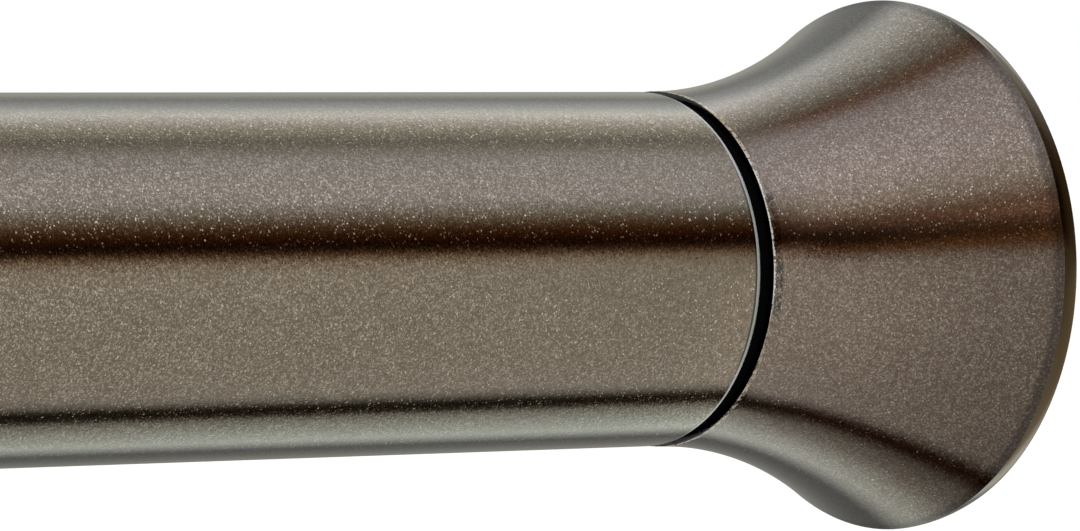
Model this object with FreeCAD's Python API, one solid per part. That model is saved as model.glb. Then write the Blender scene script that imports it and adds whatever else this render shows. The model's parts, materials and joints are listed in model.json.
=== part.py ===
import FreeCAD, Part
import math
import os

# A spring tension rod, in millimetres.
# The wall face of the right end is at the origin and the rod runs along -X from there.
# The left end's wall face is at X = -restLength, facing -X.

# Driving sizes
outerDiameter = 25.4
tubeWall = 0.6
tubeEdge = 0.5
telescopeGap = 1.0
rimDiameter = 38.8
rimWall = 2.25
lipWidth = 1.3
flareLength = 22.37
flarePower = 1.93
neckStep = 0.06
lipTaper = 11.0
lipBlend = 0.6
lipEdge = 0.7
capWall = 2.3
hubDepth = 12.7
grooveWidth = 1.01
padThickness = 3.0
padProud = 1.0
closedLength = 610.0
restOut = 60.0
plugDepth = 18.0
springLength = 60.0
springTravel = 20.0
springWire = 1.8
springTurns = 12
twistFeed = 18.0
spindleSpare = 10.0
lockBodyLength = 37.0
lockFloorThickness = 7.1
lockSetback = 0.2
wedgeOverhang = 4.0
wedgeNoseGap = 1.0
jawLength = 16.0
jawWidth = 12.8
jawTravel = 0.28
wedgeSlope = 0.15
nutDepth = 24.0
guideRingWidth = 6.0

# Clearances
runGap = 0.07
turnGap = 0.05
faceGap = 0.03
clearGap = 0.3

# Radii that follow from them
outerR = outerDiameter / 2
outerBore = outerR - tubeWall
innerR = outerBore - telescopeGap
innerBore = innerR - tubeWall
rimR = rimDiameter / 2
padR = rimR - rimWall - turnGap
journalR = innerBore * 0.40
washerR = innerBore * 0.533
screwR = 1.5
screwHeadR = 3.0
spindleR = innerBore * 0.38
spindleBore = spindleR + runGap
springR = (spindleR + springWire / 2 + clearGap + outerBore - 3.2) / 2
springOuterR = springR + springWire / 2
springInnerR = springR - springWire / 2

# Stations along each end, measured from its wall face
rimFace = padProud
lipBack = rimFace + lipWidth
neckEdge = lipBack + flareLength
tubeEnd = neckEdge + grooveWidth
washerSeat = neckEdge - hubDepth
washerThickness = 1.0
padBack = padThickness
webThickness = 2.5

restLength = closedLength + restOut
mouthFlange = 1.6
mouthSleeve = 20.0
closedGap = 1.0
outerLength = closedLength - 2 * tubeEnd - mouthFlange - closedGap

# Stations of the inner works, measured to the right from the inner tube's inner end
thrustWasher = 1.2
nutFlange = 1.5
nutRingStart = nutFlange
nutRingEnd = nutRingStart + guideRingWidth + 2 * turnGap
nutEnd = nutRingEnd + nutFlange
collarLength = 6.0
collarStart = nutEnd + 1.0
collarEnd = collarStart + collarLength
springStart = collarEnd + thrustWasher
springEnd = springStart + springLength
wedgeStart = springEnd + thrustWasher
wedgeTravel = jawTravel / wedgeSlope
lockStart = wedgeStart + wedgeTravel + lockSetback
lockEnd = lockStart + lockBodyLength
lockFloor = lockEnd - lockFloorThickness
wedgeEnd = lockFloor - wedgeTravel - wedgeNoseGap
taperStart = wedgeEnd - jawLength - wedgeOverhang
clipThickness = 1.2
stopEnd = lockEnd + 1.5
clipEnd = stopEnd + clipThickness
spindleEnd = clipEnd + 3.0
spindleTail = nutDepth + twistFeed + spindleSpare
mechanismLength = spindleEnd + springTravel + 5.0
innerLength = closedLength - 2 * tubeEnd - plugDepth - mechanismLength
innerEnd = -restLength + tubeEnd + innerLength

os.makedirs("parts", exist_ok=True)


def vec(x, y, z):
    return FreeCAD.Vector(x, y, z)


def turned(points, mapX):
    # A closed outline of (station, radius) points turned about the rod's axis.
    corners = [vec(mapX(s), 0, r) for s, r in points]
    face = Part.Face(Part.makePolygon(corners + [corners[0]]))
    return face.revolve(vec(0, 0, 0), vec(1, 0, 0), 360)


def ring(start, end, outer, inner, mapX):
    if inner > 0:
        return turned([(start, inner), (end, inner), (end, outer), (start, outer)], mapX)
    return turned([(start, 0), (end, 0), (end, outer), (start, outer)], mapX)


def edgesAt(shape, x, radius):
    # The circular edges of one radius in one plane across the axis.
    found = []
    for edge in shape.Edges:
        curve = edge.Curve
        if curve.TypeId != "Part::GeomCircle":
            continue
        if abs(curve.Radius - radius) < 1e-4 and abs(curve.Center.x - x) < 1e-4:
            found.append(edge)
    return found


def rounded(shape, size, places):
    # Rounds the circular edges at the given (x, radius) places.
    chosen = []
    for x, radius in places:
        chosen += edgesAt(shape, x, radius)
    return shape.makeFillet(size, chosen)


def spun(shape, angle):
    copy = shape.copy()
    copy.rotate(vec(0, 0, 0), vec(1, 0, 0), angle)
    return copy


def boxFrom(x0, x1, y0, y1, z0, z1):
    low = vec(min(x0, x1), min(y0, y1), min(z0, z1))
    return Part.makeBox(abs(x1 - x0), abs(y1 - y0), abs(z1 - z0), low)


def rightX(s):
    return -s


def leftX(s):
    return -restLength + s


def worksX(u):
    return innerEnd + u


def save(name, shape):
    shape.exportStep("parts/" + name + ".step")


def flareRadius(station, neckR):
    # The trumpet grows from the neck to the lip as a power of the distance from the neck.
    share = max(0.0, (neckEdge - station) / flareLength)
    return neckR + (rimR - neckR) * share ** flarePower


def flareCurve(neckR, offset, start, end, mapX):
    # The trumpet's curve, or one inside it by the offset, from one station to another.
    count = 12
    stations = [start + (end - start) * i / count for i in range(count + 1)]
    curve = Part.BSplineCurve()
    curve.interpolate([vec(mapX(s), 0, flareRadius(s, neckR) - offset) for s in stations])
    return curve.toShape()


def turnedChain(edges, corners):
    # Edges that follow one another, closed by straight lines through the corners and turned.
    points = [edges[-1].Vertexes[-1].Point] + corners + [edges[0].Vertexes[0].Point]
    lines = [Part.makeLine(a, b) for a, b in zip(points, points[1:])]
    return Part.Face(Part.Wire(edges + lines)).revolve(vec(0, 0, 0), vec(1, 0, 0), 360)


def lipTouch(neckR):
    # A ball of the blend's size rests against the trumpet and the rim at once. The place where it
    # touches the trumpet, and the trumpet's slope there, are found by halving.
    low = 0.5
    high = 1.0
    for i in range(40):
        share = (low + high) / 2
        slope = math.atan((rimR - neckR) * flarePower / flareLength * share ** (flarePower - 1))
        if neckR + (rimR - neckR) * share ** flarePower - lipBlend * math.cos(slope) > rimR - lipBlend:
            high = share
        else:
            low = share
    return neckEdge - share * flareLength, slope


def capBody(neckR, floorR, mapX):
    # The cap's outside over a straight bore: trumpet, blend, lip tapered to the wall, rounded edge.
    # Each arc is given by its centre and by how far its normals lean from straight outwards.
    def onArc(station, radius, size, lean):
        return vec(mapX(station - size * math.sin(lean)), 0, radius + size * math.cos(lean))

    touch, slope = lipTouch(neckR)
    taper = math.radians(lipTaper)
    square = math.pi / 2
    blendAt = touch - lipBlend * math.sin(slope)
    blendR = rimR - lipBlend
    lipStart = blendAt - lipBlend * math.sin(taper)
    lipStartR = blendR + lipBlend * math.cos(taper)
    cornerR = lipStartR - (lipStart - rimFace) * math.tan(taper)
    edgeAt = rimFace + lipEdge
    edgeR = cornerR - lipEdge * math.tan((square - taper) / 2)
    blend = [onArc(blendAt, blendR, lipBlend, lean) for lean in (-slope, (taper - slope) / 2, taper)]
    edge = [onArc(edgeAt, edgeR, lipEdge, lean) for lean in (taper, (taper + square) / 2, square)]
    edges = [
        flareCurve(neckR, 0, neckEdge, touch, mapX),
        Part.Arc(*blend).toShape(),
        Part.makeLine(blend[2], edge[0]),
        Part.Arc(*edge).toShape(),
    ]
    return turnedChain(edges, [vec(mapX(rimFace), 0, floorR), vec(mapX(neckEdge), 0, floorR)])


def endCap(neckR, mapX):
    # A trumpet shell with a web across its neck, a hub on the web and ribs out to the shell.
    hubR = washerR + clearGap + 1.6
    ribCount = 6
    ribThickness = 1.6
    webFace = neckEdge - webThickness
    cap = capBody(neckR, journalR + runGap, mapX)
    inside = flareCurve(neckR, capWall, webFace, padBack, mapX)
    hollow = turnedChain([inside], [vec(mapX(padBack), 0, hubR), vec(mapX(webFace), 0, hubR)])
    for i in range(ribCount):
        rib = boxFrom(mapX(padBack - 1), mapX(neckEdge), -ribThickness / 2, ribThickness / 2, 0, rimR)
        hollow = hollow.cut(spun(rib, i * 360 / ribCount))
    cap = cap.cut(hollow)
    cap = cap.cut(ring(rimFace - 1, padBack, padR + turnGap, 0, mapX))
    cap = cap.cut(ring(padBack - 1, washerSeat, washerR + clearGap, 0, mapX))
    return cap.removeSplitter()


def wallPad(mapX):
    # A flat rubber disc with shallow ring grooves in its wall face.
    pad = ring(0, padThickness, padR, 0, mapX)
    pad = rounded(pad, 0.4, [(mapX(0), padR)])
    for radius in (padR * 0.3, padR * 0.55, padR * 0.8):
        pad = pad.cut(ring(-1, 0.5, radius + 0.5, radius - 0.5, mapX))
    return pad


def tubePlug(bore, flangeR, mapX):
    # A plug with crush ribs in the tube, a flange in the groove and a journal for the cap.
    bodyEnd = tubeEnd + plugDepth
    bodyR = bore - 0.35
    profile = [
        (washerSeat - turnGap, screwR),
        (washerSeat - turnGap, journalR),
        (neckEdge + turnGap, journalR),
        (neckEdge + turnGap, flangeR),
        (tubeEnd, flangeR),
        (tubeEnd, bodyR),
        (bodyEnd, bodyR),
        (bodyEnd, bodyR * 0.72),
        (tubeEnd + 6.0, bodyR * 0.72),
        (tubeEnd + 6.0, screwR),
    ]
    plug = turned(profile, mapX)
    seat = ring(tubeEnd, tubeEnd + 2.0, bore, bodyR - 1, mapX)
    plug = plug.fuse(seat)
    crushRibs = 8
    zone = ring(tubeEnd + 1.0, bodyEnd - 1.5, bore, bodyR - 1, mapX)
    for i in range(crushRibs):
        bar = boxFrom(mapX(tubeEnd), mapX(bodyEnd), -0.6, 0.6, 0, bore + 1)
        plug = plug.fuse(spun(bar, i * 360 / crushRibs).common(zone))
    return plug.removeSplitter()


def capWasher(mapX):
    end = washerSeat - turnGap
    return ring(end - washerThickness, end, washerR, screwR + 0.2, mapX)


def capScrew(mapX):
    # A pan-head screw with a cross recess; its shank fills the plug's core.
    headBase = washerSeat - turnGap - washerThickness
    headTop = headBase - 2.2
    shankEnd = tubeEnd + 4.0
    tipR = screwR * 0.35
    profile = [
        (headTop, 0),
        (headTop, screwHeadR * 0.62),
        (headTop + 0.35, screwHeadR * 0.85),
        (headTop + 0.9, screwHeadR),
        (headBase, screwHeadR),
        (headBase, screwR),
        (shankEnd - 2.0, screwR),
        (shankEnd, tipR),
        (shankEnd, 0),
    ]
    screw = turned(profile, mapX)
    for angle in (0, 90):
        blade = boxFrom(mapX(headTop - 1), mapX(headTop + 1.3), -0.4, 0.4, -1.5, 1.5)
        screw = screw.cut(spun(blade, angle))
    return screw


def tube(start, end, outer, inner, mapX):
    body = ring(start, end, outer, inner, mapX)
    return rounded(body, tubeEdge, [(mapX(start), outer), (mapX(end), outer)])


# The right end
save("right_end_cap", endCap(outerR + neckStep, rightX))
save("right_wall_pad", wallPad(rightX))
save("right_tube_plug", tubePlug(outerBore, outerR - 0.4, rightX))
save("right_cap_washer", capWasher(rightX))
save("right_cap_screw", capScrew(rightX))

# The left end, the same set on the narrow tube
save("left_end_cap", endCap(innerR + neckStep, leftX))
save("left_wall_pad", wallPad(leftX))
save("left_tube_plug", tubePlug(innerBore, innerR - 0.4, leftX))
save("left_cap_washer", capWasher(leftX))
save("left_cap_screw", capScrew(leftX))

# The tubes and the bush between them
outerEnd = tubeEnd + outerLength
save("outer_tube", tube(tubeEnd, outerEnd, outerR, outerBore, rightX))

bush = ring(outerEnd - mouthSleeve, outerEnd + mouthFlange, outerBore, innerR + runGap, rightX)
bush = bush.fuse(ring(outerEnd, outerEnd + mouthFlange, outerR, innerR + runGap, rightX)).removeSplitter()
bush = rounded(bush, 0.5, [(rightX(outerEnd + mouthFlange), outerR)])
save("mouth_bush", bush)

# The drive nut, with a neck for the guide ring, and the rivets that hold it in the tube
neckR = innerR * 0.86
nutProfile = [
    (-nutDepth, spindleBore),
    (nutEnd, spindleBore),
    (nutEnd, innerR),
    (nutRingEnd, innerR),
    (nutRingEnd, neckR),
    (nutRingStart, neckR),
    (nutRingStart, innerR),
    (0, innerR),
    (0, innerBore),
    (-nutDepth, innerBore),
]
rivetR = 1.2
rivetAt = worksX(-nutDepth / 2)
rivetFloor = innerBore - 3.0
nut = turned(nutProfile, worksX)
innerTube = tube(tubeEnd, tubeEnd + innerLength, innerR, innerBore, leftX)
for number, side in ((1, 1), (2, -1)):
    shank = Part.makeCylinder(rivetR, innerR - rivetFloor, vec(rivetAt, 0, side * rivetFloor), vec(0, 0, side))
    innerTube = innerTube.cut(shank)
    nut = nut.cut(shank)
    headBlank = Part.makeCylinder(rivetR * 1.7, 0.35, vec(rivetAt, 0, side * (innerR - 0.05)), vec(0, 0, side))
    head = headBlank.cut(ring(-nutDepth, 0, innerR, 0, worksX))
    save("nut_rivet_" + str(number), shank.fuse(head).removeSplitter())
save("drive_nut", nut)
save("inner_tube", innerTube)

# The guide ring, split so that it can be sprung over the nut's flange
guide = ring(nutRingStart + turnGap, nutRingEnd - turnGap, outerBore - runGap, neckR + runGap, worksX)
slit = boxFrom(worksX(0), worksX(nutEnd), -0.75, 0.75, 0, outerR)
save("guide_ring", guide.cut(slit))

# The spindle, threaded on its left part, with a clip groove near its right end
threadRoot = spindleR - 0.45
clipRoot = spindleR * 0.78
spindleProfile = [
    (-spindleTail, 0),
    (-spindleTail, threadRoot),
    (-spindleTail + 0.6, spindleR),
    (stopEnd, spindleR),
    (stopEnd, clipRoot),
    (clipEnd, clipRoot),
    (clipEnd, spindleR),
    (spindleEnd - 0.6, spindleR),
    (spindleEnd, spindleR - 0.6),
    (spindleEnd, 0),
]
pinR = 1.25
collarR = springOuterR + 0.6
pinAt = worksX((collarStart + collarEnd) / 2)
crossPin = Part.makeCylinder(pinR, 2 * collarR - 1.0, vec(pinAt, 0, -collarR + 0.5), vec(0, 0, 1))
save("spindle", turned(spindleProfile, worksX).cut(crossPin))
collar = ring(collarStart, collarEnd, collarR, spindleR, worksX)
collar = rounded(collar, 0.4, [(worksX(collarStart), collarR), (worksX(collarEnd), collarR)])
crossHole = Part.makeCylinder(pinR, 2 * collarR + 2, vec(pinAt, 0, -collarR - 1), vec(0, 0, 1))
save("spring_collar", collar.cut(crossHole))
save("collar_pin", crossPin)
save("collar_washer", ring(collarEnd, springStart, springOuterR + 0.4, spindleR, worksX))
save("wedge_washer", ring(springEnd, wedgeStart, springOuterR + 0.4, spindleBore, worksX))

# The stop washer and the clip on the spindle's right end
save("stop_washer", ring(lockEnd, stopEnd, spindleR * 2.0, spindleR, worksX))
clip = ring(stopEnd, clipEnd, spindleR * 1.75, clipRoot, worksX)
clipGap = boxFrom(worksX(stopEnd - 1), worksX(clipEnd + 1), -clipRoot * 0.75, clipRoot * 0.75, 0, outerR)
save("spindle_clip", clip.cut(clipGap))

# The spring: a helix of round wire with its ends ground flat on the washers
pitch = (springLength + springWire) / springTurns
helix = Part.makeHelix(pitch, pitch * springTurns, springR)
wireCircle = Part.makeCircle(springWire / 2, vec(springR, 0, 0), vec(0, 1, 0))
coil = Part.Wire(helix.Edges).makePipeShell([Part.Wire([wireCircle])], True, True)
coil.rotate(vec(0, 0, 0), vec(0, 1, 0), 90)
coil.translate(vec(worksX(springStart) - springWire / 2, 0, 0))
keep = ring(springStart, springEnd, outerBore, 0, worksX)
save("tension_spring", coil.common(keep))

# The wedge: a guide barrel that runs into three flats sloping towards the axis
cavityR = outerBore - 1.9
wedgeR = cavityR - runGap
flatHigh = wedgeR * 0.83
wedge = ring(wedgeStart, wedgeEnd, wedgeR, spindleBore, worksX)


def wedgeFlat(u):
    # How far each sloping flat is from the axis at a station.
    return flatHigh - wedgeSlope * (u - taperStart)


def slopedBlock(start, end, gap, top):
    # A block above one sloping flat, lifted off it by a gap.
    corners = [
        vec(worksX(start), -outerR, wedgeFlat(start) + gap),
        vec(worksX(end), -outerR, wedgeFlat(end) + gap),
        vec(worksX(end), -outerR, top),
        vec(worksX(start), -outerR, top),
    ]
    return Part.Face(Part.makePolygon(corners + [corners[0]])).extrude(vec(0, 2 * outerR, 0))


for i in range(3):
    wedge = wedge.cut(spun(slopedBlock(taperStart, wedgeEnd + 1, 0, outerR), i * 120))
save("lock_wedge", wedge)

# The lock body: a carrier with three windows, open at the left for the wedge
jawStart = taperStart + wedgeTravel + 0.1
jawEnd = jawStart + jawLength
lockR = outerBore - runGap
lock = ring(lockStart, lockEnd, lockR, spindleBore, worksX)
lock = lock.cut(ring(lockStart - 1, lockFloor, cavityR, 0, worksX))
sideGap = 0.1
for i in range(3):
    halfWidth = jawWidth / 2 + sideGap
    window = boxFrom(worksX(jawStart - sideGap), worksX(jawEnd + sideGap), -halfWidth, halfWidth, 1, outerR)
    lock = lock.cut(spun(window, i * 120))
save("lock_body", lock)

# The jaws: curved to the tube outside, flat on the wedge inside, with shallow teeth across
jawR = outerBore - jawTravel - 0.02
toothCount = 5
toothPitch = jawLength / toothCount
jawProfile = [(jawStart, 0), (jawEnd, 0), (jawEnd, jawR)]
for i in range(toothCount, 0, -1):
    valley = jawStart + toothPitch * (i - 1)
    if i < toothCount:
        jawProfile.append((valley + toothPitch, jawR))
    jawProfile.append((valley + toothPitch * 0.35, jawR))
    jawProfile.append((valley + toothPitch * 0.25, jawR - 0.4))
    jawProfile.append((valley + toothPitch * 0.1, jawR - 0.4))
    jawProfile.append((valley, jawR))
jawBlank = turned(jawProfile, worksX)
jawBlank = jawBlank.common(slopedBlock(jawStart, jawEnd, faceGap, outerR))
jawBlank = jawBlank.common(boxFrom(worksX(jawStart), worksX(jawEnd), -jawWidth / 2, jawWidth / 2, 0, outerR))
for i in range(3):
    save("lock_jaw_" + str(i + 1), spun(jawBlank, i * 120))
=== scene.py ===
import json
import math

import bpy
import numpy as np
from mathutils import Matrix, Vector


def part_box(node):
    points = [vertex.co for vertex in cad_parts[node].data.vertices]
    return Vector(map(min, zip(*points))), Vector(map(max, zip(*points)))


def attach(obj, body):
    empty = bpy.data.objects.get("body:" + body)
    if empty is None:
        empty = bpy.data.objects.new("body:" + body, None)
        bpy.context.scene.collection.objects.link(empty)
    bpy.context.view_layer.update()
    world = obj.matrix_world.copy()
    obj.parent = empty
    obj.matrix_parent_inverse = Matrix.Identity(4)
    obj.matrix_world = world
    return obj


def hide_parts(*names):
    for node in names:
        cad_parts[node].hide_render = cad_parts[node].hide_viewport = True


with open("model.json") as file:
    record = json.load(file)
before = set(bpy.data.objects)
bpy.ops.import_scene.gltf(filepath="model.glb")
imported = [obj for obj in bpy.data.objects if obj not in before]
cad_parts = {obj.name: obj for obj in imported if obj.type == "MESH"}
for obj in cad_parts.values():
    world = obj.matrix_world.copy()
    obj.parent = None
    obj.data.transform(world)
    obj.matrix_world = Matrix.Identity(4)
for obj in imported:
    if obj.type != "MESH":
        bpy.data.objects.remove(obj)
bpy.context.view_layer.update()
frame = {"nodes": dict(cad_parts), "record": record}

print("frame loaded:", len(frame["nodes"]), "nodes")

mm = 0.001

# Where the frame's own solids put the parts of each end, as distances from the wall face
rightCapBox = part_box("right_end_cap")
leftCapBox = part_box("left_end_cap")
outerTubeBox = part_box("outer_tube")
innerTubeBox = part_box("inner_tube")
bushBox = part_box("mouth_bush")
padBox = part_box("right_wall_pad")
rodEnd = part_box("left_wall_pad")[0].x

outerRadius = outerTubeBox[1].z
innerRadius = innerTubeBox[1].z
tubeWall = 0.6 * mm
rimRadius = rightCapBox[1].z
rimFace = -rightCapBox[1].x
neckEdge = -rightCapBox[0].x
tubeEnd = -outerTubeBox[1].x
padRadius = padBox[1].z
padBack = -padBox[0].x


# Surfaces

def roundedOutline(corners):
    # Each corner is (x, r, radius). A corner with a radius becomes an arc that touches both of
    # its sides: the arc's ends lie radius / tan(half the corner's angle) from the corner.
    points = []
    count = len(corners)
    for i in range(count):
        here = np.array(corners[i][:2])
        size = corners[i][2]
        if size <= 0:
            points.append(here[None, :])
            continue
        toLast = np.array(corners[i - 1][:2]) - here
        toNext = np.array(corners[(i + 1) % count][:2]) - here
        toLast = toLast / np.linalg.norm(toLast)
        toNext = toNext / np.linalg.norm(toNext)
        half = math.acos(np.clip(toLast @ toNext, -1, 1)) / 2
        middle = (toLast + toNext) / np.linalg.norm(toLast + toNext)
        centre = here + middle * size / math.sin(half)
        start = here + toLast * size / math.tan(half) - centre
        end = here + toNext * size / math.tan(half) - centre
        sweep = math.pi - 2 * half
        t = np.linspace(0, 1, 9)[:, None]
        arc = np.sin((1 - t) * sweep) * start + np.sin(t * sweep) * end
        points.append(centre + arc / math.sin(sweep))
    return np.vstack(points)


def meshFrom(name, verts, quads, tris, material):
    # Puts arrays of points and faces into a mesh object.
    mesh = bpy.data.meshes.new(name)
    faceCount = len(quads) + len(tris)
    mesh.vertices.add(len(verts))
    mesh.vertices.foreach_set("co", verts.astype(np.float32).ravel())
    loops = np.concatenate([quads.ravel(), tris.ravel()]).astype(np.int32)
    mesh.loops.add(len(loops))
    mesh.loops.foreach_set("vertex_index", loops)
    starts = np.concatenate([np.arange(len(quads)) * 4, len(quads) * 4 + np.arange(len(tris)) * 3])
    mesh.polygons.add(faceCount)
    mesh.polygons.foreach_set("loop_start", starts.astype(np.int32))
    mesh.update(calc_edges=True)
    mesh.validate()
    mesh.materials.append(material)
    piece = bpy.data.objects.new(name, mesh)
    bpy.context.scene.collection.objects.link(piece)
    return piece


def lathePiece(name, outline, material, around=288, wobble=None, sharpAngle=40):
    # The outline's points (x, r) are carried round the rod's axis: y = r cos(a), z = r sin(a).
    # Points with r = 0 are poles, closed with triangles. The outline is a closed loop.
    x = outline[:, 0]
    r = outline[:, 1]
    area = np.sum(x * np.roll(r, -1) - np.roll(x, -1) * r)
    if area < 0:
        x = x[::-1]
        r = r[::-1]
    a = np.linspace(0, 2 * math.pi, around, endpoint=False)
    gridX = np.repeat(x[:, None], around, axis=1)
    gridR = np.repeat(r[:, None], around, axis=1)
    if wobble is not None:
        gridX, gridR = wobble(gridX, gridR, np.repeat(a[None, :], len(x), axis=0))
    verts = np.stack([gridX, gridR * np.cos(a), gridR * np.sin(a)], axis=-1).reshape(-1, 3)
    rows = np.arange(len(x))
    nextRows = np.roll(rows, -1)
    cols = np.arange(around)
    nextCols = np.roll(cols, -1)
    isPole = r < 1e-9
    firstIndex = rows[:, None] * around + np.where(isPole[:, None], 0, cols)
    corner = np.stack([
        firstIndex,
        firstIndex[nextRows],
        firstIndex[nextRows][:, nextCols],
        firstIndex[:, nextCols],
    ], axis=-1)
    plain = ~isPole & ~isPole[nextRows]
    quads = corner[plain].reshape(-1, 4)
    fromPole = isPole & ~isPole[nextRows]
    toPole = ~isPole & isPole[nextRows]
    tris = np.vstack([
        corner[fromPole][:, :, [0, 1, 2]].reshape(-1, 3),
        corner[toPole][:, :, [0, 1, 3]].reshape(-1, 3),
    ])
    used = np.unique(np.concatenate([quads.ravel(), tris.ravel()]))
    renumber = np.zeros(len(verts), int)
    renumber[used] = np.arange(len(used))
    piece = meshFrom(name, verts[used], renumber[quads], renumber[tris], material)
    smoothBelow(piece, sharpAngle)
    return piece


def smoothBelow(piece, sharpAngle):
    # Smooth shading, with an edge kept sharp where its two faces meet at more than the angle.
    mesh = piece.data
    mesh.polygons.foreach_set("use_smooth", np.ones(len(mesh.polygons), bool))
    mesh.set_sharp_from_angle(angle=math.radians(sharpAngle))


# Materials

def newMaterial(name):
    material = bpy.data.materials.new(name)
    material.use_nodes = True
    nodes = material.node_tree.nodes
    nodes.clear()
    output = nodes.new("ShaderNodeOutputMaterial")
    shader = nodes.new("ShaderNodeBsdfPrincipled")
    material.node_tree.links.new(shader.outputs["BSDF"], output.inputs["Surface"])
    return material, material.node_tree, shader


def addNode(tree, kind, **values):
    node = tree.nodes.new(kind)
    for key, value in values.items():
        if key in node.inputs:
            node.inputs[key].default_value = value
        else:
            setattr(node, key, value)
    return node


def mathNode(tree, operation, first, second=None, clamp=False):
    node = tree.nodes.new("ShaderNodeMath")
    node.operation = operation
    node.use_clamp = clamp
    for slot, value in ((0, first), (1, second)):
        if value is None:
            continue
        if isinstance(value, (int, float)):
            node.inputs[slot].default_value = value
        else:
            tree.links.new(value, node.inputs[slot])
    return node.outputs[0]


def mixColour(tree, share, first, second, blend="MIX"):
    node = tree.nodes.new("ShaderNodeMix")
    node.data_type = "RGBA"
    node.blend_type = blend
    for slot, value in ((0, share), (6, first), (7, second)):
        if isinstance(value, bpy.types.NodeSocket):
            tree.links.new(value, node.inputs[slot])
        elif slot == 0:
            node.inputs[slot].default_value = value
        else:
            node.inputs[slot].default_value = (*value, 1.0)
    return node.outputs[2]


def bandMask(tree, along, place, width, soft):
    # 1 within the width of a place along the rod, falling to 0 over the soft distance.
    away = mathNode(tree, "ABSOLUTE", mathNode(tree, "SUBTRACT", along, place))
    return mathNode(tree, "DIVIDE", mathNode(tree, "SUBTRACT", width + soft, away), soft, clamp=True)


def addScaled(tree, value, scale, start):
    spread = mathNode(tree, "MULTIPLY_ADD", value, scale)
    spread.node.inputs[2].default_value = start
    return spread


def spreadNode(tree, value, low, high):
    # Carries 0..1 to low..high.
    return addScaled(tree, value, high - low, low)


def scaleColour(tree, colour, scale):
    node = addNode(tree, "ShaderNodeVectorMath", operation="SCALE")
    tree.links.new(colour, node.inputs[0])
    tree.links.new(scale, node.inputs["Scale"])
    return node.outputs[0]


# sparks is the share of the flakes that are bright, shine how far the dull ones reach to brightFlake
tubeLook = {"colour": (0.184, 0.137, 0.083), "shine": 0.46, "sparks": 0.050, "spark": (0.60, 0.53, 0.44)}
capLook = {"colour": (0.194, 0.131, 0.094), "shine": 0.38, "sparks": 0.026, "spark": (0.52, 0.46, 0.40)}
flakeSettings = {
    "flakeSize": 0.10 * mm,
    "patchSize": 0.24 * mm,
    "peelSize": 1.3 * mm,
    "flakeDark": 0.66,
    "brightFlake": (0.62, 0.57, 0.50),
    "patchSpread": 0.30,
    "flakeTilt": 0.04,
    "sparkTilt": 0.16,
    "peel": 0.010,
    "roughness": 0.12,
    "roughSpread": 0.03,
    "dullPower": 3.0,
    "metal": 1.0,
    "coat": 0.8,
    "coatRoughness": 0.08,
}


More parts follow.
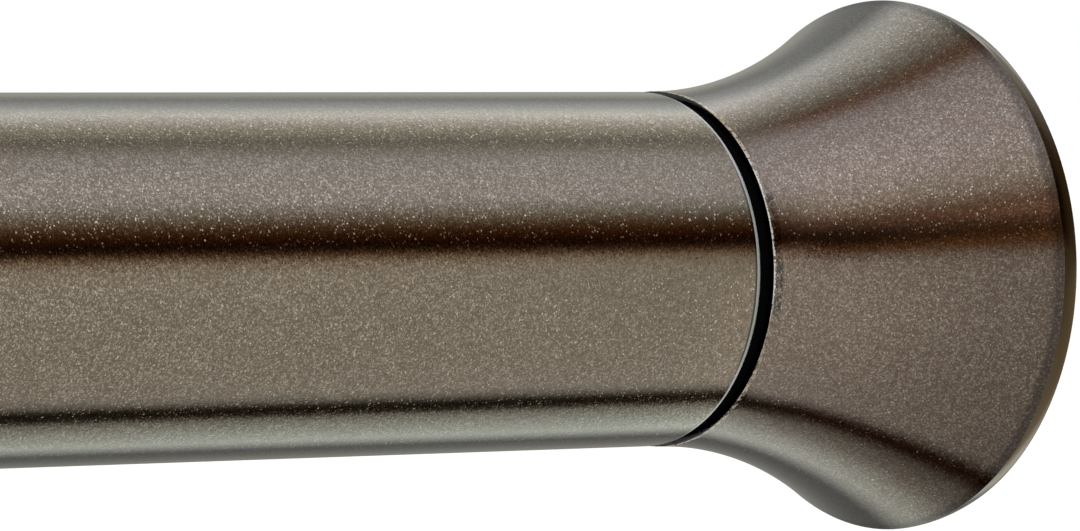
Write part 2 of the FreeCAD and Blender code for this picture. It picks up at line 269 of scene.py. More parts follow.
def flakePaint(name, look, wearAndLight=None):
    # Bronze paint full of fine flakes. Each Voronoi cell is one flake with a brightness and a tilt of its
    # own, most of them dull and level, a few bright and more tilted. Larger cells make the paint uneven,
    # and a slow noise gives the surface its slight peel. wearAndLight adds the bare edges, with painted
    # light and shade at them.
    f = flakeSettings
    material, tree, shader = newMaterial(name)
    links = tree.links
    coords = addNode(tree, "ShaderNodeTexCoord").outputs["Object"]
    geometry = addNode(tree, "ShaderNodeNewGeometry")
    flakes = addNode(tree, "ShaderNodeTexVoronoi", Scale=1 / f["flakeSize"], Randomness=1.0)
    patches = addNode(tree, "ShaderNodeTexVoronoi", Scale=1 / f["patchSize"], Randomness=1.0)
    peel = addNode(tree, "ShaderNodeTexNoise", Scale=1 / f["peelSize"], Detail=2.0)
    for texture in (flakes, patches, peel):
        links.new(coords, texture.inputs["Vector"])
    parts = addNode(tree, "ShaderNodeSeparateColor")
    links.new(flakes.outputs["Color"], parts.inputs["Color"])
    patchParts = addNode(tree, "ShaderNodeSeparateColor")
    links.new(patches.outputs["Color"], patchParts.inputs["Color"])

    spark = mathNode(tree, "GREATER_THAN", parts.outputs["Blue"], 1 - look["sparks"])
    uneven = f["patchSpread"] / 2
    patch = spreadNode(tree, patchParts.outputs["Green"], 1 - uneven, 1 + uneven)
    toned = addNode(tree, "ShaderNodeVectorMath", operation="SCALE")
    toned.inputs[0].default_value = [f["flakeDark"] * c for c in look["colour"]]
    links.new(patch, toned.inputs["Scale"])
    dull = mathNode(tree, "POWER", parts.outputs["Red"], f["dullPower"])
    shine = mathNode(tree, "MULTIPLY", dull, look["shine"])
    base = mixColour(tree, shine, toned.outputs[0], f["brightFlake"])
    base = mixColour(tree, mathNode(tree, "MULTIPLY", spark, parts.outputs["Green"]), base, look["spark"])
    low = f["roughness"] - f["roughSpread"]
    high = f["roughness"] + f["roughSpread"]
    rough = spreadNode(tree, peel.outputs["Fac"], low, high)
    nonMetal = None
    if wearAndLight:
        base, nonMetal = wearAndLight(tree, coords, base)

    amount = spreadNode(tree, spark, f["flakeTilt"], f["sparkTilt"])
    leaning = geometry.outputs["Normal"]
    for source, size in ((flakes, amount), (peel, f["peel"])):
        centred = addNode(tree, "ShaderNodeVectorMath", operation="SUBTRACT")
        links.new(source.outputs["Color"], centred.inputs[0])
        centred.inputs[1].default_value = (0.5, 0.5, 0.5)
        scaled = addNode(tree, "ShaderNodeVectorMath", operation="SCALE")
        links.new(centred.outputs[0], scaled.inputs[0])
        if isinstance(size, float):
            scaled.inputs["Scale"].default_value = size
        else:
            links.new(size, scaled.inputs["Scale"])
        added = addNode(tree, "ShaderNodeVectorMath", operation="ADD")
        links.new(leaning, added.inputs[0])
        links.new(scaled.outputs[0], added.inputs[1])
        leaning = added.outputs[0]
    unit = addNode(tree, "ShaderNodeVectorMath", operation="NORMALIZE")
    links.new(leaning, unit.inputs[0])

    links.new(base, shader.inputs["Base Color"])
    links.new(rough, shader.inputs["Roughness"])
    links.new(unit.outputs[0], shader.inputs["Normal"])
    if nonMetal is None:
        shader.inputs["Metallic"].default_value = f["metal"]
    else:
        links.new(spreadNode(tree, nonMetal, f["metal"], 0.0), shader.inputs["Metallic"])
    shader.inputs["Coat Weight"].default_value = f["coat"]
    shader.inputs["Coat Roughness"].default_value = f["coatRoughness"]
    return material


# Places and widths run along the rod from the edge that they belong to, reaches over its height
# Its colours hold bare metal and chipped paint together with painted shadow, shade, highlights and
# reflections.
wearAndLightSettings = {
    "bareMetalAndReflection": (0.46, 0.52, 0.48),
    "bareMetalAndHighlight": (0.66, 0.68, 0.74),
    # Painted shadow lines, also the colour of the dark specks
    "paintedShadowAndSpecks": (0.03, 0.03, 0.022),
    "chippedPaintAndHighlight": (0.95, 0.92, 0.88),
    "chippedGoldAndGlint": (0.62, 0.51, 0.38),
    "ringBack": 0.52 * mm,
    "ringSoft": 0.03 * mm,
    # Painted light on the tube's end, on its lower half
    "paintedEndLight": 0.32,
    "paintedEndLightReach": 7.0 * mm,
    "paintedEndLightSoft": 1.5 * mm,
    "lineBack": 0.60 * mm,
    "lineHalf": 0.08 * mm,
    "lineReach": 6.0 * mm,
    "lineSoft": 2.0 * mm,
    "chipHalf": 0.05 * mm,
    "chipSoft": 0.02 * mm,
    "chipSize": 0.5 * mm,
    "chipLitCentre": 3.0 * mm,
    "chipLitReach": 4.2 * mm,
    "chipLitFade": 2.5 * mm,
    "chipFrom": (0.47, 0.42),
    "dotHalf": 0.13 * mm,
    "dotSoft": 0.03 * mm,
    "dotFrom": 0.55,
    "speckSize": 0.21 * mm,
    "speckFrom": 0.50,
    "speckBack": 0.46 * mm,
    "speckHalf": 0.32 * mm,
    "speckSoft": 0.12 * mm,
    "speckCentre": 1.3 * mm,
    "speckReach": 3.8 * mm,
    "speckFade": 1.6 * mm,
    "zoneSize": 2.4 * mm,
    "zoneFrom": 0.30,
    "burrFrom": 0.50,
    "burrBack": 0.17 * mm,
    "burrHalf": 0.10 * mm,
    "burrSoft": 0.05 * mm,
    "burrShade": 0.37 * mm,
    "burrShadeHalf": 0.03 * mm,
    "burrShadeSoft": 0.04 * mm,
    "asideFrom": 5.0 * mm,
    "asideSoft": 3.0 * mm,
    "lipPaint": (0.150, 0.118, 0.084),
    "lipSoft": 0.08 * mm,
    "lipShade": 0.50,
    "lipShadeReach": 0.85 * mm,
    "lipShadeSoft": 0.40 * mm,
    "faceHalf": 0.03 * mm,
    "faceSoft": 0.01 * mm,
    "faceInset": 0.05 * mm,
}


def asideMask(tree, height):
    # 0 in the middle of the height, rising to 1 toward the rod's upper and lower sides.
    w = wearAndLightSettings
    past = mathNode(tree, "SUBTRACT", mathNode(tree, "ABSOLUTE", height), w["asideFrom"])
    return mathNode(tree, "DIVIDE", past, w["asideSoft"], clamp=True)


def axisParts(tree, coords):
    place = addNode(tree, "ShaderNodeSeparateXYZ")
    tree.links.new(coords, place.inputs[0])
    return place.outputs["X"], place.outputs["Y"], place.outputs["Z"]


def tubeEndWearAndLight(tree, coords, base):
    # The tube's rounded end shows bare metal with a painted reflection on it and a painted highlight toward
    # its upper and lower sides, with a thin painted shadow line beside it except toward its upper and lower
    # sides. Painted light makes the paint lighter toward the end on the lower half.
    w = wearAndLightSettings
    along, across, height = axisParts(tree, coords)
    # Painted light: the paint is made lighter toward the end on the lower half
    inside = mathNode(tree, "ADD", along, tubeEnd + w["paintedEndLightReach"])
    lift = mathNode(tree, "DIVIDE", inside, w["paintedEndLightReach"], clamp=True)
    level = mathNode(tree, "DIVIDE", height, w["paintedEndLightSoft"])
    under = mathNode(tree, "SUBTRACT", 0.5, level, clamp=True)
    lift = mathNode(tree, "MULTIPLY", lift, under)
    base = scaleColour(tree, base, spreadNode(tree, lift, 1.0, 1.0 + w["paintedEndLight"]))
    # Painted shadow: a thin dark line just back from the end, in the middle of the height
    line = bandMask(tree, along, -tubeEnd - w["lineBack"], w["lineHalf"], w["lineHalf"])
    low = bandMask(tree, height, 0.0, w["lineReach"], w["lineSoft"])
    base = mixColour(tree, mathNode(tree, "MULTIPLY", line, low), base, w["paintedShadowAndSpecks"])
    # The ring is bare metal with a painted reflection on it, and a painted highlight toward the upper and
    # lower sides
    ring = bandMask(tree, along, -tubeEnd, w["ringBack"], w["ringSoft"])
    metal = mixColour(tree, asideMask(tree, height), w["bareMetalAndReflection"], w["bareMetalAndHighlight"])
    return mixColour(tree, ring, base, metal), ring


def allOf(tree, *masks):
    # The product of the masks: 1 only where all of them are.
    product = masks[0]
    for mask in masks[1:]:
        product = mathNode(tree, "MULTIPLY", product, mask)
    return product


def capWearAndLight(neckX, lipX, inward, neckRadius):
    # Round the neck's edge the paint is worn to a broken line that also carries a painted highlight. On the
    # near side the line is bright with dots in it, and dark specks and a burr, with a painted glint on it
    # and a painted shadow beside it, lie just beyond it. Inside the groove the cap is black, a painted
    # shadow. The lip is painted smooth, without flakes, and the trumpet darkens with painted shade just
    # before it.
    w = wearAndLightSettings

    def wearAndLight(tree, coords, base):
        along, across, height = axisParts(tree, coords)
        front = mathNode(tree, "LESS_THAN", across, 0.0)
        specks = addNode(tree, "ShaderNodeTexNoise", Scale=1 / w["speckSize"], Detail=1.0)
        zones = addNode(tree, "ShaderNodeTexNoise", Scale=1 / w["zoneSize"], Detail=2.0)
        breaks = addNode(tree, "ShaderNodeTexNoise", Scale=1 / w["chipSize"], Detail=3.0, Roughness=0.7)
        for texture in (specks, zones, breaks):
            tree.links.new(coords, texture.inputs["Vector"])

        def above(texture, level):
            return mathNode(tree, "GREATER_THAN", texture.outputs["Fac"], level)

        def beyondNeck(name, half, soft):
            return bandMask(tree, along, neckX + inward * w[name], w[half], w[soft])

        # The lip, and painted shade on the trumpet just before it
        past = mathNode(tree, "MULTIPLY", mathNode(tree, "SUBTRACT", along, lipX), inward)
        shade = mathNode(tree, "ADD", past, w["lipShadeReach"])
        shade = mathNode(tree, "DIVIDE", shade, w["lipShadeSoft"], clamp=True)
        base = scaleColour(tree, base, spreadNode(tree, shade, 1.0, 1.0 - w["lipShade"]))
        onLip = mathNode(tree, "DIVIDE", past, w["lipSoft"], clamp=True)
        base = mixColour(tree, onLip, base, w["lipPaint"])

        # Dark specks in the middle of the height, thinned by a slower noise
        low = bandMask(tree, height, w["speckCentre"], w["speckReach"], w["speckFade"])
        zone = allOf(tree, beyondNeck("speckBack", "speckHalf", "speckSoft"), low, front)
        dark = allOf(tree, above(specks, w["speckFrom"]), above(zones, w["zoneFrom"]), zone)
        base = mixColour(tree, dark, base, w["paintedShadowAndSpecks"])

        # A golden burr, its gold partly a painted glint, with a painted shadow beside it, toward the upper
        # and lower sides
        rough = allOf(tree, asideMask(tree, height), front, above(breaks, w["burrFrom"]))
        shadow = allOf(tree, beyondNeck("burrShade", "burrShadeHalf", "burrShadeSoft"), rough)
        base = mixColour(tree, shadow, base, w["paintedShadowAndSpecks"])
        burr = allOf(tree, beyondNeck("burrBack", "burrHalf", "burrSoft"), rough)
        base = mixColour(tree, burr, base, w["chippedGoldAndGlint"])

        # The edge's broken line of chipped paint, golden at the sides and paler with dots in the middle,
        # both colours partly a painted highlight
        near = bandMask(tree, height, w["chipLitCentre"], w["chipLitReach"], w["chipLitFade"])
        near = allOf(tree, near, front)
        edge = bandMask(tree, along, neckX, w["chipHalf"], w["chipSoft"])
        line = allOf(tree, edge, above(breaks, spreadNode(tree, near, *w["chipFrom"])))
        dots = bandMask(tree, along, neckX, w["dotHalf"], w["dotSoft"])
        dots = allOf(tree, dots, above(specks, w["dotFrom"]), near)
        line = mathNode(tree, "MAXIMUM", line, dots)
        wornAndLit = mixColour(tree, near, w["chippedGoldAndGlint"], w["chippedPaintAndHighlight"])
        base = mixColour(tree, line, base, wornAndLit)

        # Painted shadow: the face in the groove, inside the neck's radius, is painted black
        squares = [mathNode(tree, "POWER", part, 2.0) for part in (across, height)]
        wide = mathNode(tree, "SQRT", mathNode(tree, "ADD", *squares))
        inner = mathNode(tree, "LESS_THAN", wide, neckRadius - w["faceInset"])
        atFace = bandMask(tree, along, neckX, w["faceHalf"], w["faceSoft"])
        hidden = allOf(tree, inner, atFace)
        nonMetal = mathNode(tree, "MAXIMUM", line, burr)
        nonMetal = mathNode(tree, "MAXIMUM", nonMetal, hidden)
        return mixColour(tree, hidden, base, (0.0, 0.0, 0.0)), nonMetal
    return wearAndLight


plasticSettings = {"lighter": 1.35, "roughSpread": 0.2, "bumpStrength": 0.5}


def mouldedPlastic(name, colour, roughness, grainScale=1500.0, bump=0.02, gloss=0.5):
    # Moulded plastic or rubber with a faint grain in its colour, gloss and surface.
    p = plasticSettings
    material, tree, shader = newMaterial(name)
    coords = addNode(tree, "ShaderNodeTexCoord")
    grain = addNode(tree, "ShaderNodeTexNoise", Scale=grainScale, Detail=5.0, Roughness=0.6)
    tree.links.new(coords.outputs["Object"], grain.inputs["Vector"])
    lighter = tuple(min(1.0, c * p["lighter"]) for c in colour)
    tree.links.new(mixColour(tree, grain.outputs["Fac"], colour, lighter), shader.inputs["Base Color"])
    rough = addScaled(tree, grain.outputs["Fac"], p["roughSpread"], roughness - p["roughSpread"] / 2)
    tree.links.new(rough, shader.inputs["Roughness"])
    bumpNode = addNode(tree, "ShaderNodeBump", Strength=p["bumpStrength"], Distance=bump * mm)
    tree.links.new(grain.outputs["Fac"], bumpNode.inputs["Height"])
    tree.links.new(bumpNode.outputs["Normal"], shader.inputs["Normal"])
    shader.inputs["Specular IOR Level"].default_value = gloss
    return material


steelSettings = {
    "ringScale": (9000.0, 300.0, 300.0),
    "blotchScale": 420.0,
    "darker": 0.72,
    "roughSpread": 0.25,
}


def platedSteel(name, colour, roughness):
    # Turned or drawn steel: fine rings of gloss along the rod's axis and slight blotches.
    s = steelSettings
    material, tree, shader = newMaterial(name)
    coords = addNode(tree, "ShaderNodeTexCoord")
    stretch = addNode(tree, "ShaderNodeMapping", Scale=s["ringScale"])
    tree.links.new(coords.outputs["Object"], stretch.inputs["Vector"])
    lines = addNode(tree, "ShaderNodeTexNoise", Scale=1.0, Detail=3.0)
    tree.links.new(stretch.outputs["Vector"], lines.inputs["Vector"])
    blotch = addNode(tree, "ShaderNodeTexNoise", Scale=s["blotchScale"], Detail=4.0)
    tree.links.new(coords.outputs["Object"], blotch.inputs["Vector"])
    darker = tuple(c * s["darker"] for c in colour)
    tree.links.new(mixColour(tree, blotch.outputs["Fac"], darker, colour), shader.inputs["Base Color"])
    rough = addScaled(tree, lines.outputs["Fac"], s["roughSpread"], roughness)
    tree.links.new(rough, shader.inputs["Roughness"])
    shader.inputs["Metallic"].default_value = 1.0
    return material


tubePaint = flakePaint("tubePaint", tubeLook, tubeEndWearAndLight)
innerPaint = flakePaint("innerPaint", tubeLook)
padRubber = mouldedPlastic("padRubber", (0.035, 0.034, 0.033), 0.75, 900.0, 0.05)
blackPlastic = mouldedPlastic("blackPlastic", (0.0015, 0.0015, 0.0015), 0.8, gloss=0.02)
naturalNylon = mouldedPlastic("naturalNylon", (0.62, 0.59, 0.50), 0.45)
brightSteel = platedSteel("brightSteel", (0.62, 0.62, 0.60), 0.2)
springSteel = platedSteel("springSteel", (0.30, 0.30, 0.31), 0.25)
castMetal = platedSteel("castMetal", (0.55, 0.56, 0.57), 0.35)
print("materials made")


# The end caps

capSettings = {
    "flarePower": 1.915,
    "wall": 2.3 * mm,
    "lipTop": 1.65 * mm,
    "lipBlend": 0.08 * mm,
    "lipLean": math.radians(5),
    "lipCrown": 5.2 * mm,
    "lipEdge": 0.2 * mm,
    "neckEdgeRound": 0.06 * mm,
    "web": 2.5 * mm,
    "hubRadius": 7.5 * mm,
    "pocketRadius": 5.9 * mm,
    "boreRadius": 4.27 * mm,
    "washerSeat": 12.07 * mm,
    "ribCount": 6,
    "ribThickness": 1.6 * mm,
    "ribSink": 0.3 * mm,
    "mouthFlat": 1.0 * mm,
    "mouthGap": 0.05 * mm,
    "mouthRound": 0.15 * mm,
    "neckFlat": 0.5 * mm,
    "flareFrom": 0.4 * mm,
    "neckStep": 0.06 * mm,
    "edgeRough": 0.035 * mm,
    "edgeReach": 0.18 * mm,
    "edgeDepth": 0.6 * mm,
}
rightNeckX = -neckEdge
leftNeckX = leftCapBox[1].x
rightNeckRadius = outerRadius + capSettings["neckStep"]
leftNeckRadius = innerRadius + capSettings["neckStep"]
lipBack = rimFace + capSettings["lipTop"]
rightWearAndLight = capWearAndLight(rightNeckX, -lipBack, 1, rightNeckRadius)
leftWearAndLight = capWearAndLight(leftNeckX, rodEnd + lipBack, -1, leftNeckRadius)
rightCapPaint = flakePaint("rightCapPaint", capLook, rightWearAndLight)
leftCapPaint = flakePaint("leftCapPaint", capLook, leftWearAndLight)


def flareEnd(neckRadius):
    # The trumpet ends where it leans as much as the lip's blend, an arc whose top is the rim. Its
    # lean there is atan(power * rise / run), and each turn takes rise and run from the last lean.
    c = capSettings
    lean = 0.5
    for turn in range(20):
        rise = rimRadius - c["lipBlend"] * (1 - math.cos(lean)) - neckRadius
        run = neckEdge - rimFace - c["lipTop"] - c["lipBlend"] * math.sin(lean)
        lean = math.atan(c["flarePower"] * rise / run)
    return lean, rise, run


def flareRadius(station, neckRadius):
    # The trumpet's radius grows from the neck as a power of the distance from it.
    rise, run = flareEnd(neckRadius)[1:]
    return neckRadius + rise * ((neckEdge - station) / run) ** capSettings["flarePower"]


def lipOutline(neckRadius):
    # Three arcs that run into one another: the blend from the trumpet over the rim, the lip's slow
    # crown and its edge. Leans are the angles of their normals toward the wall, and each centre
    # lies on the normal where its arc meets the last one.
    c = capSettings
    blend, crown, edge = c["lipBlend"], c["lipCrown"], c["lipEdge"]
    top = rimFace + c["lipTop"]
    low = -flareEnd(neckRadius)[0]
    middle = c["lipLean"]
    crownX = top + (crown - blend) * math.sin(middle)
    crownR = rimRadius - blend - (crown - blend) * math.cos(middle)
    high = math.asin((crownX - rimFace - edge) / (crown - edge))
    edgeR = crownR + (crown - edge) * math.cos(high)
    arcs = []
    for at, radius, size, start, end, count in (
        (top, rimRadius - blend, blend, low, middle, 10),
        (crownX, crownR, crown, middle, high, 13),
        (rimFace + edge, edgeR, edge, high, math.pi / 2, 9),
    ):
        lean = np.linspace(start, end, count)[:, None]
        arcs.append(np.hstack([at - size * np.sin(lean), radius + size * np.cos(lean)]))
    return np.vstack([arcs[0][:-1], arcs[1][:-1], arcs[2]])


def capOutline(neckRadius):
    # The cap's section as (station from the wall face, radius): neck, trumpet, lip, mouth and hollow.
    c = capSettings
    stations = neckEdge - flareEnd(neckRadius)[2] * np.linspace(0, 1, 90)
    trumpet = np.stack([stations, flareRadius(stations, neckRadius)], axis=1)
    inside = neckEdge - c["web"] + (padBack - neckEdge + c["web"]) * np.linspace(0, 1, 40)
    hollow = np.stack([inside, flareRadius(inside, neckRadius) - c["wall"]], axis=1)[::-1]
    mouth = roundedOutline([
        (rimFace, rimRadius - c["mouthFlat"], 0),
        (rimFace, padRadius + c["mouthGap"], c["mouthRound"]),
        (padBack, padRadius + c["mouthGap"], 0),
    ])
    neck = roundedOutline([
        (neckEdge, c["boreRadius"], 0),
        (neckEdge, neckRadius, c["neckEdgeRound"]),
        (neckEdge - c["neckFlat"], neckRadius, 0),
    ])[:-1]
    hub = np.array([
        (neckEdge - c["web"], c["hubRadius"]),
        (padBack, c["hubRadius"]),
        (padBack, c["pocketRadius"]),
        (c["washerSeat"], c["pocketRadius"]),
        (c["washerSeat"], c["boreRadius"]),
    ])
    flareStart = np.searchsorted(-trumpet[:, 0], -(neckEdge - c["flareFrom"]))
    return np.vstack([neck, trumpet[flareStart:-1], lipOutline(neckRadius), mouth, hollow, hub])


def rightPlace(outline):
    return np.stack([-outline[:, 0], outline[:, 1]], axis=1)


def leftPlace(outline):
    return np.stack([rodEnd + outline[:, 0], outline[:, 1]], axis=1)


def roughNeck(neckX, neckRadius):
    # Paint built up unevenly at the neck's edge: the radius grows by a sum of waves round the
    # rim, sin(k a + k k) / (1 + 0.012 k), times exp(-(distance / edgeReach) squared).
    c = capSettings

    def wobble(x, r, a):
        near = np.exp(-((x - neckX) / c["edgeReach"]) ** 2) * (np.abs(r - neckRadius) < c["edgeDepth"])
        waves = sum(np.sin(k * a + k * k) / (1 + 0.012 * k) for k in (7, 17, 31, 53, 79, 101)) / 3
        return x, r + c["edgeRough"] * near * np.clip(waves, -0.4, 1.2)
    return wobble


def makeRibs(name, body, neckRadius, place, paint):
    # Plates from the hub out to the shell. At each station a plate's section is a thin rectangle
    # whose outer side follows the hollow, turned about the axis to the plate's own angle.
    c = capSettings
    station = np.linspace(padBack, neckEdge - c["web"] + c["ribSink"], 30)
    outer = flareRadius(station, neckRadius) - c["wall"] + c["ribSink"]
    x = place(np.stack([station, outer], axis=1))[:, 0]
    if x[0] > x[-1]:
        x = x[::-1]
        outer = outer[::-1]
    inner = np.full_like(outer, c["hubRadius"] - c["ribSink"])
    radial = np.stack([inner, outer, outer, inner], axis=1)
    across = np.array([-1, -1, 1, 1]) * c["ribThickness"] / 2
    turn = (0.25 + np.arange(c["ribCount"]) / c["ribCount"])[:, None, None] * 2 * math.pi
    shape = (c["ribCount"], len(x), 4)
    verts = np.stack([
        np.broadcast_to(x[None, :, None], shape),
        radial * np.cos(turn) - across * np.sin(turn),
        radial * np.sin(turn) + across * np.cos(turn),
    ], axis=-1).reshape(-1, 3)
    index = np.arange(len(verts)).reshape(shape)
    near, far = index[:, :-1], index[:, 1:]
    sides = np.stack([near, np.roll(near, -1, 2), np.roll(far, -1, 2), far], axis=-1).reshape(-1, 4)
    ends = np.vstack([index[:, -1], index[:, 0, ::-1]])
    ribs = meshFrom(name, verts, np.vstack([sides, ends]), np.zeros((0, 3), int), paint)
    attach(ribs, body)


def makeCap(name, node, body, neckRadius, place, neckX, paint):
    cap = lathePiece(name, place(capOutline(neckRadius)), paint, 360, roughNeck(neckX, neckRadius))
    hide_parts(node)
    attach(cap, body)
    makeRibs(name.replace("Shell", "Ribs"), body, neckRadius, place, paint)


for name, node, body, neckRadius, place, neckX, paint in (
    ("rightCapShell", "right_end_cap", "right_cap", rightNeckRadius, rightPlace, rightNeckX, rightCapPaint),
    ("leftCapShell", "left_end_cap", "left_cap", leftNeckRadius, leftPlace, leftNeckX, leftCapPaint),
):
    makeCap(name, node, body, neckRadius, place, neckX, paint)
print("end caps made")


# The wall pads

padSettings = {
    "edge": 0.4 * mm,
    "grooveDepth": 0.5 * mm,
    "grooveWidth": 1.0 * mm,
    "grooveTop": 0.12 * mm,
    "grooveFloor": 0.15 * mm,
    "grooves": (0.3, 0.55, 0.8),
}


def padOutline():
    # A disc with rounded rim and shallow ring grooves in its wall face.
    p = padSettings
    corners = [(padBack, 0, 0), (padBack, padRadius, 0), (0, padRadius, p["edge"])]
    half = p["grooveWidth"] / 2
    for share in reversed(p["grooves"]):
        middle = padRadius * share
        corners += [
            (0, middle + half, p["grooveTop"]),
            (p["grooveDepth"], middle + half, p["grooveFloor"]),
            (p["grooveDepth"], middle - half, p["grooveFloor"]),
            (0, middle - half, p["grooveTop"]),
        ]
    return roundedOutline(corners + [(0, 0, 0)])


for name, node, body, place in (
    ("rightPad", "right_wall_pad", "right_cap", rightPlace),
    ("leftPad", "left_wall_pad", "left_cap", leftPlace),
):
    pad = lathePiece(name, place(padOutline()), padRubber, 192)
    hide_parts(node)
    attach(pad, body)
print("wall pads made")


# The tubes and the bush

tubeSettings = {
    "edge": 0.5 * mm,
    "innerEdge": 0.075 * mm,
    "bushRun": 0.07 * mm,
    "bushEdge": 0.5 * mm,
    "bushStep": 0.15 * mm,
    "bushRound": 0.2 * mm,
}


def makeTube(name, node, body, box, radius, material):
    t = tubeSettings
    outline = roundedOutline([
        (box[0].x, radius, t["edge"]),
        (box[1].x, radius, t["edge"]),
        (box[1].x, radius - tubeWall, t["innerEdge"]),
        (box[0].x, radius - tubeWall, t["innerEdge"]),
    ])
    tube = lathePiece(name, outline, material, 360)
    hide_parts(node)
    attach(tube, body)


makeTube("outerTubeSkin", "outer_tube", "outer_tube", outerTubeBox, outerRadius, tubePaint)
makeTube("innerTubeSkin", "inner_tube", "inner_tube", innerTubeBox, innerRadius, innerPaint)

bushBore = innerRadius + tubeSettings["bushRun"]
mouth = outerTubeBox[0].x
bush = lathePiece("mouthBush", roundedOutline([
    (bushBox[1].x, outerRadius - tubeWall, tubeSettings["bushRound"]),
    (mouth, outerRadius - tubeWall, 0),
    (mouth, outerRadius, tubeSettings["bushStep"]),
    (bushBox[0].x, outerRadius, tubeSettings["bushEdge"]),
    (bushBox[0].x, bushBore, tubeSettings["bushRound"]),
    (bushBox[1].x, bushBore, tubeSettings["bushRound"]),
]), blackPlastic, 256)
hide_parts("mouth_bush")
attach(bush, "outer_tube")
print("tubes and bush made")


# The hidden solids keep their own shape and get their finish

slotFinish = {
    "tube_paint": tubePaint,
    "cap_paint": rightCapPaint,
    "pad_rubber": padRubber,
    "black_plastic": blackPlastic,
    "natural_nylon": naturalNylon,
    "wedge_metal": castMetal,
    "bright_steel": brightSteel,
    "spring_steel": springSteel,
}
slotOf = {part["node"]: part["material_slot"] for part in frame["record"]["subparts"]}
for name, node in frame["nodes"].items():
    node.data.materials.clear()
    node.data.materials.append(slotFinish[slotOf[name]])
print("solids finished")


# Stage and light

stageSettings = {
    "floorDrop": 0.10,
    "floorSize": 60.0,
    "floorColour": (0.86, 0.86, 0.86),
    "floorLift": 0.45,
}


def floorMaterial():
    material = bpy.data.materials.new("floorPaper")
    material.use_nodes = True
    tree = material.node_tree
    tree.nodes.clear()
    output = addNode(tree, "ShaderNodeOutputMaterial")
    diffuse = addNode(tree, "ShaderNodeBsdfDiffuse", Color=(*stageSettings["floorColour"], 1))
    lift = addNode(tree, "ShaderNodeEmission", Color=(1, 1, 1, 1))
    rays = addNode(tree, "ShaderNodeLightPath")
    strength = mathNode(tree, "MULTIPLY", rays.outputs["Is Camera Ray"], stageSettings["floorLift"])
    tree.links.new(strength, lift.inputs["Strength"])
    both = addNode(tree, "ShaderNodeAddShader")
    tree.links.new(diffuse.outputs[0], both.inputs[0])
    tree.links.new(lift.outputs[0], both.inputs[1])
    tree.links.new(both.outputs[0], output.inputs["Surface"])
    return material


def makeFloor():
    # A square of floor below the rod: plain pale, lifted to white for the camera, keeping the shadow.
    half = stageSettings["floorSize"] / 2
    drop = -stageSettings["floorDrop"]
    corners = np.array([(-half, -half), (half, -half), (half, half), (-half, half)])
    verts = np.hstack([corners, np.full((4, 1), drop)])
    floor = meshFrom("floor", verts, np.array([[0, 1, 2, 3]]), np.zeros((0, 3), int), floorMaterial())
    floor.visible_glossy = False


# Long soft boxes lie along the rod, with dark gaps between them. Each entry is an angle round the
# rod's axis, in degrees from level at the front over the top, the level of light that comes from
# there, its tint, and the share of it that is lost toward the left, below 0 where it grows.
lightTints = {
    "grey": (1.00, 1.00, 0.98),
    "cool": (0.93, 1.00, 0.99),
    "green": (0.92, 1.00, 0.93),
    "olive": (1.00, 0.99, 0.86),
    "plain": (1.00, 0.98, 0.92),
    "mauve": (0.91, 0.93, 1.00),
    "sand": (1.00, 0.84, 0.68),
    "tan": (1.00, 0.60, 0.40),
    "rust": (1.00, 0.45, 0.14),
    "gold": (1.00, 0.84, 0.58),
    "brown": (1.00, 0.26, 0.08),
    "amber": (1.00, 0.72, 0.34),
}
rightBands = [
    (-180, 0.31, "olive", 0.3),
    (-142, 0.14, "grey", 0.3),
    (-136, 0.44, "green", 0.3),
    (-129, 0.94, "green", 0.3),
    (-114, 0.76, "green", 0.3),
    (-103.5, 0.48, "olive", 0.3),
    (-99.5, 0.02, "rust", 0.3),
    (-91.5, 0.01, "brown", 0.3),
    (-86, 0.54, "plain", 0.3),
    (-80, 0.80, "plain", 0.3),
    (4, 0.97, "plain", 0.3),
    (10, 0.80, "sand", 0.3),
    (13.3, 0.41, "tan", 0.3),
    (15.6, 0.12, "rust", 0.3),
    (17.7, 0.02, "brown", 0.3),
    (22, 0.02, "brown", 0.3),
    (26.5, 0.09, "brown", 0.3),
    (30.5, 0.15, "rust", 0.3),
    (34, 0.28, "tan", 0.3),
    (38, 0.45, "sand", 0.3),
    (43, 0.72, "plain", 0.3),
    (51, 1.25, "mauve", 0.3),
    (63, 1.27, "mauve", 0.3),
    (82, 1.03, "mauve", 0.3),
    (91, 0.58, "plain", 0.3),
    (97, 0.42, "plain", 0.3),
    (110, 0.80, "olive", 0.3),
    (126, 1.34, "grey", 0.3),
    (137, 0.70, "cool", 0.3),
    (150, 0.28, "grey", 0.3),
    (165, 0.42, "olive", 0.3),
]
leftBands = [
    (-180, 0.15, "olive", 0.3),
    (-140, 0.16, "grey", 0.3),
    (-127, 1.00, "green", 0.2),
    (-118, 0.86, "green", 0.3),
    (-108, 0.46, "plain", 0.4),
    (-100, 0.30, "olive", 0.2),
    (-94, 0.04, "brown", 0.0),
    (-89, 0.04, "brown", 0.0),
    (-82, 0.66, "plain", 0.5),
    (-60, 0.76, "plain", 0.45),
    (-25, 0.90, "plain", 0.35),
    (2, 0.88, "plain", 0.3),
    (10, 0.25, "rust", 0.0),
    (14, 0.035, "rust", -2.0),
    (20, 0.05, "tan", -3.8),
    (26, 0.34, "tan", -0.15),
    (30, 0.62, "sand", 0.1),
    (37, 1.10, "plain", 0.1),
    (52, 1.45, "mauve", 0.1),
    (66, 1.36, "mauve", 0.1),
    (84, 1.00, "mauve", 0.0),
    (95, 0.34, "tan", 0.0),
    (103, 0.45, "olive", 0.0),
    (118, 1.12, "cool", 0.0),
    (129, 1.15, "cool", 0.0),
    (140, 0.36, "cool", 0.0),
    (160, 0.25, "grey", 0.0),
]

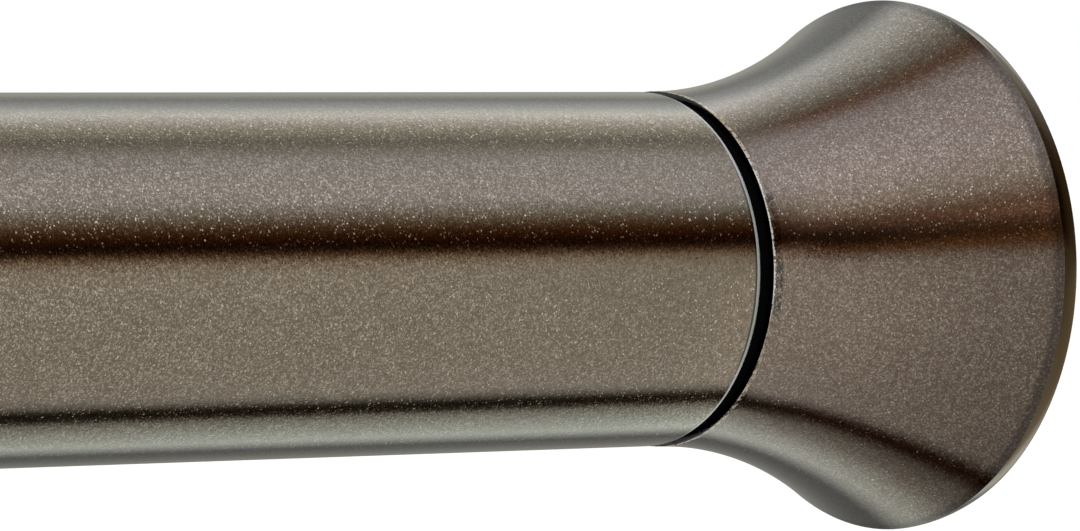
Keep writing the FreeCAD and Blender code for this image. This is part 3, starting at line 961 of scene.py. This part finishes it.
endBands = [
    (-180, 0.10, "amber", 0.0),
    (-160, 0.20, "amber", 0.0),
    (-140, 0.62, "olive", 0.0),
    (-122, 0.75, "olive", 0.0),
    (-100, 0.42, "gold", 0.0),
    (-77, 0.38, "gold", 0.0),
    (-50, 0.36, "gold", 0.0),
    (-19, 0.25, "gold", 0.0),
    (6, 0.15, "amber", 0.0),
    (16, 0.03, "brown", 0.0),
    (42, 0.01, "brown", 0.0),
    (60, 0.09, "tan", 0.0),
    (72, 0.11, "tan", 0.0),
    (86, 0.28, "gold", 0.0),
    (108, 0.44, "olive", 0.0),
    (126, 0.36, "olive", 0.0),
    (140, 0.62, "olive", 0.0),
    (153, 0.34, "olive", 0.0),
    (166, 0.10, "amber", 0.0),
]


# Each fade gives where it starts and ends along X, for a direction of length 1. The right bands
# take over from the left ones along rightFade, and endBands from those along endFade.
worldSettings = {
    "keptMost": 8.0,
    "lossFade": (-0.25, 0.35),
    "rightFade": (0.44, 0.66),
    "endFade": (0.735, 0.785),
    "farFade": (0.84, 0.95),
    "farLevel": 0.12,
    "farBelow": (0.30, 0.23, 0.13),
    "farAbove": (0.08, 0.05, 0.02),
    "besideFade": (-0.7, -0.5),
    "besideColour": (0.60, 0.58, 0.54),
}


def bandRamp(tree, share, bands):
    # A colour ramp round the axis, whose ends both hold the first entry. Its alpha carries what is
    # kept toward the left, as a share of keptMost.
    ramp = addNode(tree, "ShaderNodeValToRGB")
    tree.links.new(share, ramp.inputs["Fac"])
    stops = ramp.color_ramp.elements
    for degrees, level, tint, lost in bands:
        kept = (1 - lost) / worldSettings["keptMost"]
        colour = (*(level * c for c in lightTints[tint]), kept)
        if degrees == -180:
            stops[0].color = colour
            stops[1].color = colour
        else:
            stops.new((degrees + 180) / 360).color = colour
    return ramp


def makeWorld():
    s = worldSettings
    world = bpy.data.worlds.new("studio")
    bpy.context.scene.world = world
    world.use_nodes = True
    tree = world.node_tree
    tree.nodes.clear()
    links = tree.links
    output = addNode(tree, "ShaderNodeOutputWorld")
    coords = addNode(tree, "ShaderNodeTexCoord")
    axes = addNode(tree, "ShaderNodeSeparateXYZ")
    links.new(coords.outputs["Generated"], axes.inputs[0])
    front = mathNode(tree, "MULTIPLY", axes.outputs["Y"], -1.0)
    angle = mathNode(tree, "ARCTAN2", axes.outputs["Z"], front)
    share = addScaled(tree, angle, 1 / (2 * math.pi), 0.5)
    right = bandRamp(tree, share, rightBands)
    left = bandRamp(tree, share, leftBands)
    end = bandRamp(tree, share, endBands)

    def risingAlong(fade):
        start, stop = fade
        past = mathNode(tree, "SUBTRACT", axes.outputs["X"], start)
        return mathNode(tree, "DIVIDE", past, stop - start, clamp=True)

    # The left bands are scaled by 1 + (kept - 1) (1 - lossFade)
    kept = mathNode(tree, "MULTIPLY", left.outputs["Alpha"], s["keptMost"])
    change = mathNode(tree, "SUBTRACT", kept, 1.0)
    toLeft = mathNode(tree, "SUBTRACT", 1.0, risingAlong(s["lossFade"]))
    growth = mathNode(tree, "ADD", 1.0, mathNode(tree, "MULTIPLY", change, toLeft))
    colour = scaleColour(tree, left.outputs["Color"], growth)
    colour = mixColour(tree, risingAlong(s["rightFade"]), colour, right.outputs["Color"])
    colour = mixColour(tree, risingAlong(s["endFade"]), colour, end.outputs["Color"])
    # Straight beyond the rod's end it is dark above the level and dim below it
    level = mathNode(tree, "ABSOLUTE", axes.outputs["Z"])
    aside = mathNode(tree, "DIVIDE", level, s["farLevel"], clamp=True)
    above = mathNode(tree, "DIVIDE", axes.outputs["Z"], s["farLevel"], clamp=True)
    farEnd = mixColour(tree, above, s["farBelow"], s["farAbove"])
    colour = mixColour(tree, mathNode(tree, "MULTIPLY", risingAlong(s["farFade"]), aside), colour, farEnd)
    beside = mathNode(tree, "SUBTRACT", 1.0, risingAlong(s["besideFade"]))
    colour = mixColour(tree, beside, colour, s["besideColour"])
    light = addNode(tree, "ShaderNodeBackground", Strength=1.0)
    links.new(colour, light.inputs["Color"])
    # The camera itself sees plain white behind the rod
    white = addNode(tree, "ShaderNodeBackground", Color=(1, 1, 1, 1), Strength=1.0)
    rays = addNode(tree, "ShaderNodeLightPath")
    pick = addNode(tree, "ShaderNodeMixShader")
    links.new(rays.outputs["Is Camera Ray"], pick.inputs["Fac"])
    links.new(light.outputs[0], pick.inputs[1])
    links.new(white.outputs[0], pick.inputs[2])
    links.new(pick.outputs[0], output.inputs["Surface"])


makeFloor()
makeWorld()
bpy.context.scene.view_settings.view_transform = "Standard"
print("stage and light made")


# The camera, as in the photograph: a long lens, a little above the rod's level

cameraSettings = {
    "azimuth": -40.5,
    "elevation": 1.16,
    "distance": 641.6 * mm,
    "target": (-35.57 * mm, 0.0, 0.39 * mm),
    "lens": 301.3,
    "sensor": 36.0,
    "clip": (0.05, 100.0),
}


def makeCamera():
    c = cameraSettings
    azimuth = math.radians(c["azimuth"])
    elevation = math.radians(c["elevation"])
    ahead = Vector((
        -math.sin(azimuth) * math.cos(elevation),
        math.cos(azimuth) * math.cos(elevation),
        -math.sin(elevation),
    ))
    data = bpy.data.cameras.new("photoCamera")
    data.lens = c["lens"]
    data.sensor_width = c["sensor"]
    data.clip_start, data.clip_end = c["clip"]
    camera = bpy.data.objects.new("photoCamera", data)
    camera.location = Vector(c["target"]) - ahead * c["distance"]
    camera.rotation_mode = "QUATERNION"
    camera.rotation_quaternion = ahead.to_track_quat("-Z", "Y")
    bpy.context.scene.collection.objects.link(camera)
    bpy.context.scene.camera = camera


makeCamera()
